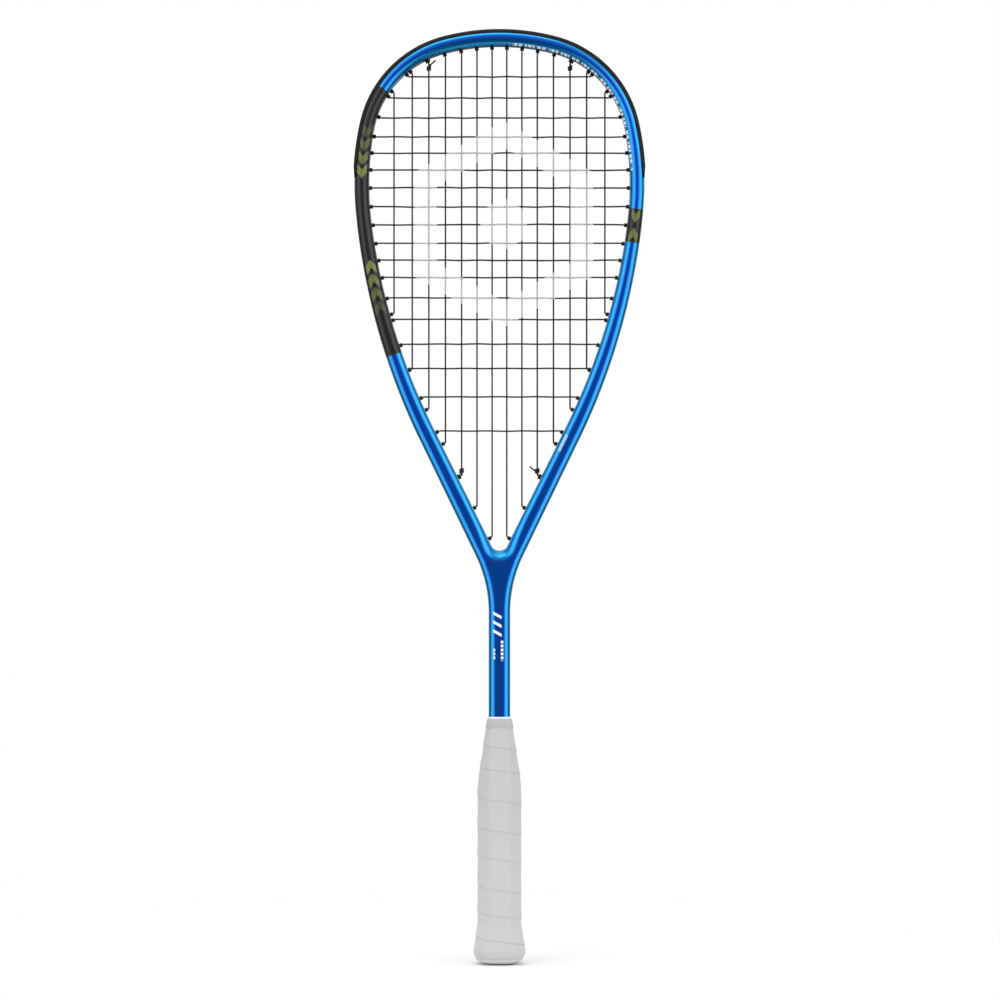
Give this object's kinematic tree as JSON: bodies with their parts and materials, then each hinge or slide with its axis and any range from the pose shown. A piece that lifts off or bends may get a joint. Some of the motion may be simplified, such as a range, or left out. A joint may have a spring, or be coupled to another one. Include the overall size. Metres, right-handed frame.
{
  "type": "squash racket",
  "caption": "Open-throat squash racket: hollow metallic blue frame, black bumper guard and woven black strings, with a spirally wrapped pale grip on an octagonal handle.",
  "frame": {"origin": "middle of the flat on the butt cap's end face", "axes": "+Z along the shaft from butt to head, +X across the string face, +Y through the strings; the front faces -Y"},
  "size_m": [0.214, 0.034, 0.686],
  "materials": {
    "frame_paint": "gloss metallic blue lacquer with black panels and olive chevrons",
    "bumper_black": "satin moulded nylon",
    "grommet_black": "satin moulded nylon",
    "string_black": "coated multifilament",
    "handle_foam": "moulded polyurethane foam",
    "cap_cream": "moulded, fine texture",
    "staple_steel": "plain",
    "grip_cream": "soft perforated polyurethane wrap",
    "tape_white": "satin adhesive tape"
  },
  "bodies": {
    "root": {"frame_shell": "frame_paint", "bumper_guard": "bumper_black", "grommet_strip_left": "grommet_black", "grommet_strip_right": "grommet_black", "throat_grommet_left": "grommet_black", "throat_grommet_right": "grommet_black", "main_string": "string_black", "cross_string": "string_black", "knot_top_left": "string_black", "knot_top_right": "string_black", "knot_bottom_left": "string_black", "knot_bottom_right": "string_black", "handle_half_left": "handle_foam", "handle_half_right": "handle_foam", "butt_cap": "cap_cream", "butt_cap_staples": "staple_steel", "grip_wrap": "grip_cream", "finishing_tape": "tape_white"}
  },
  "joints": []
}
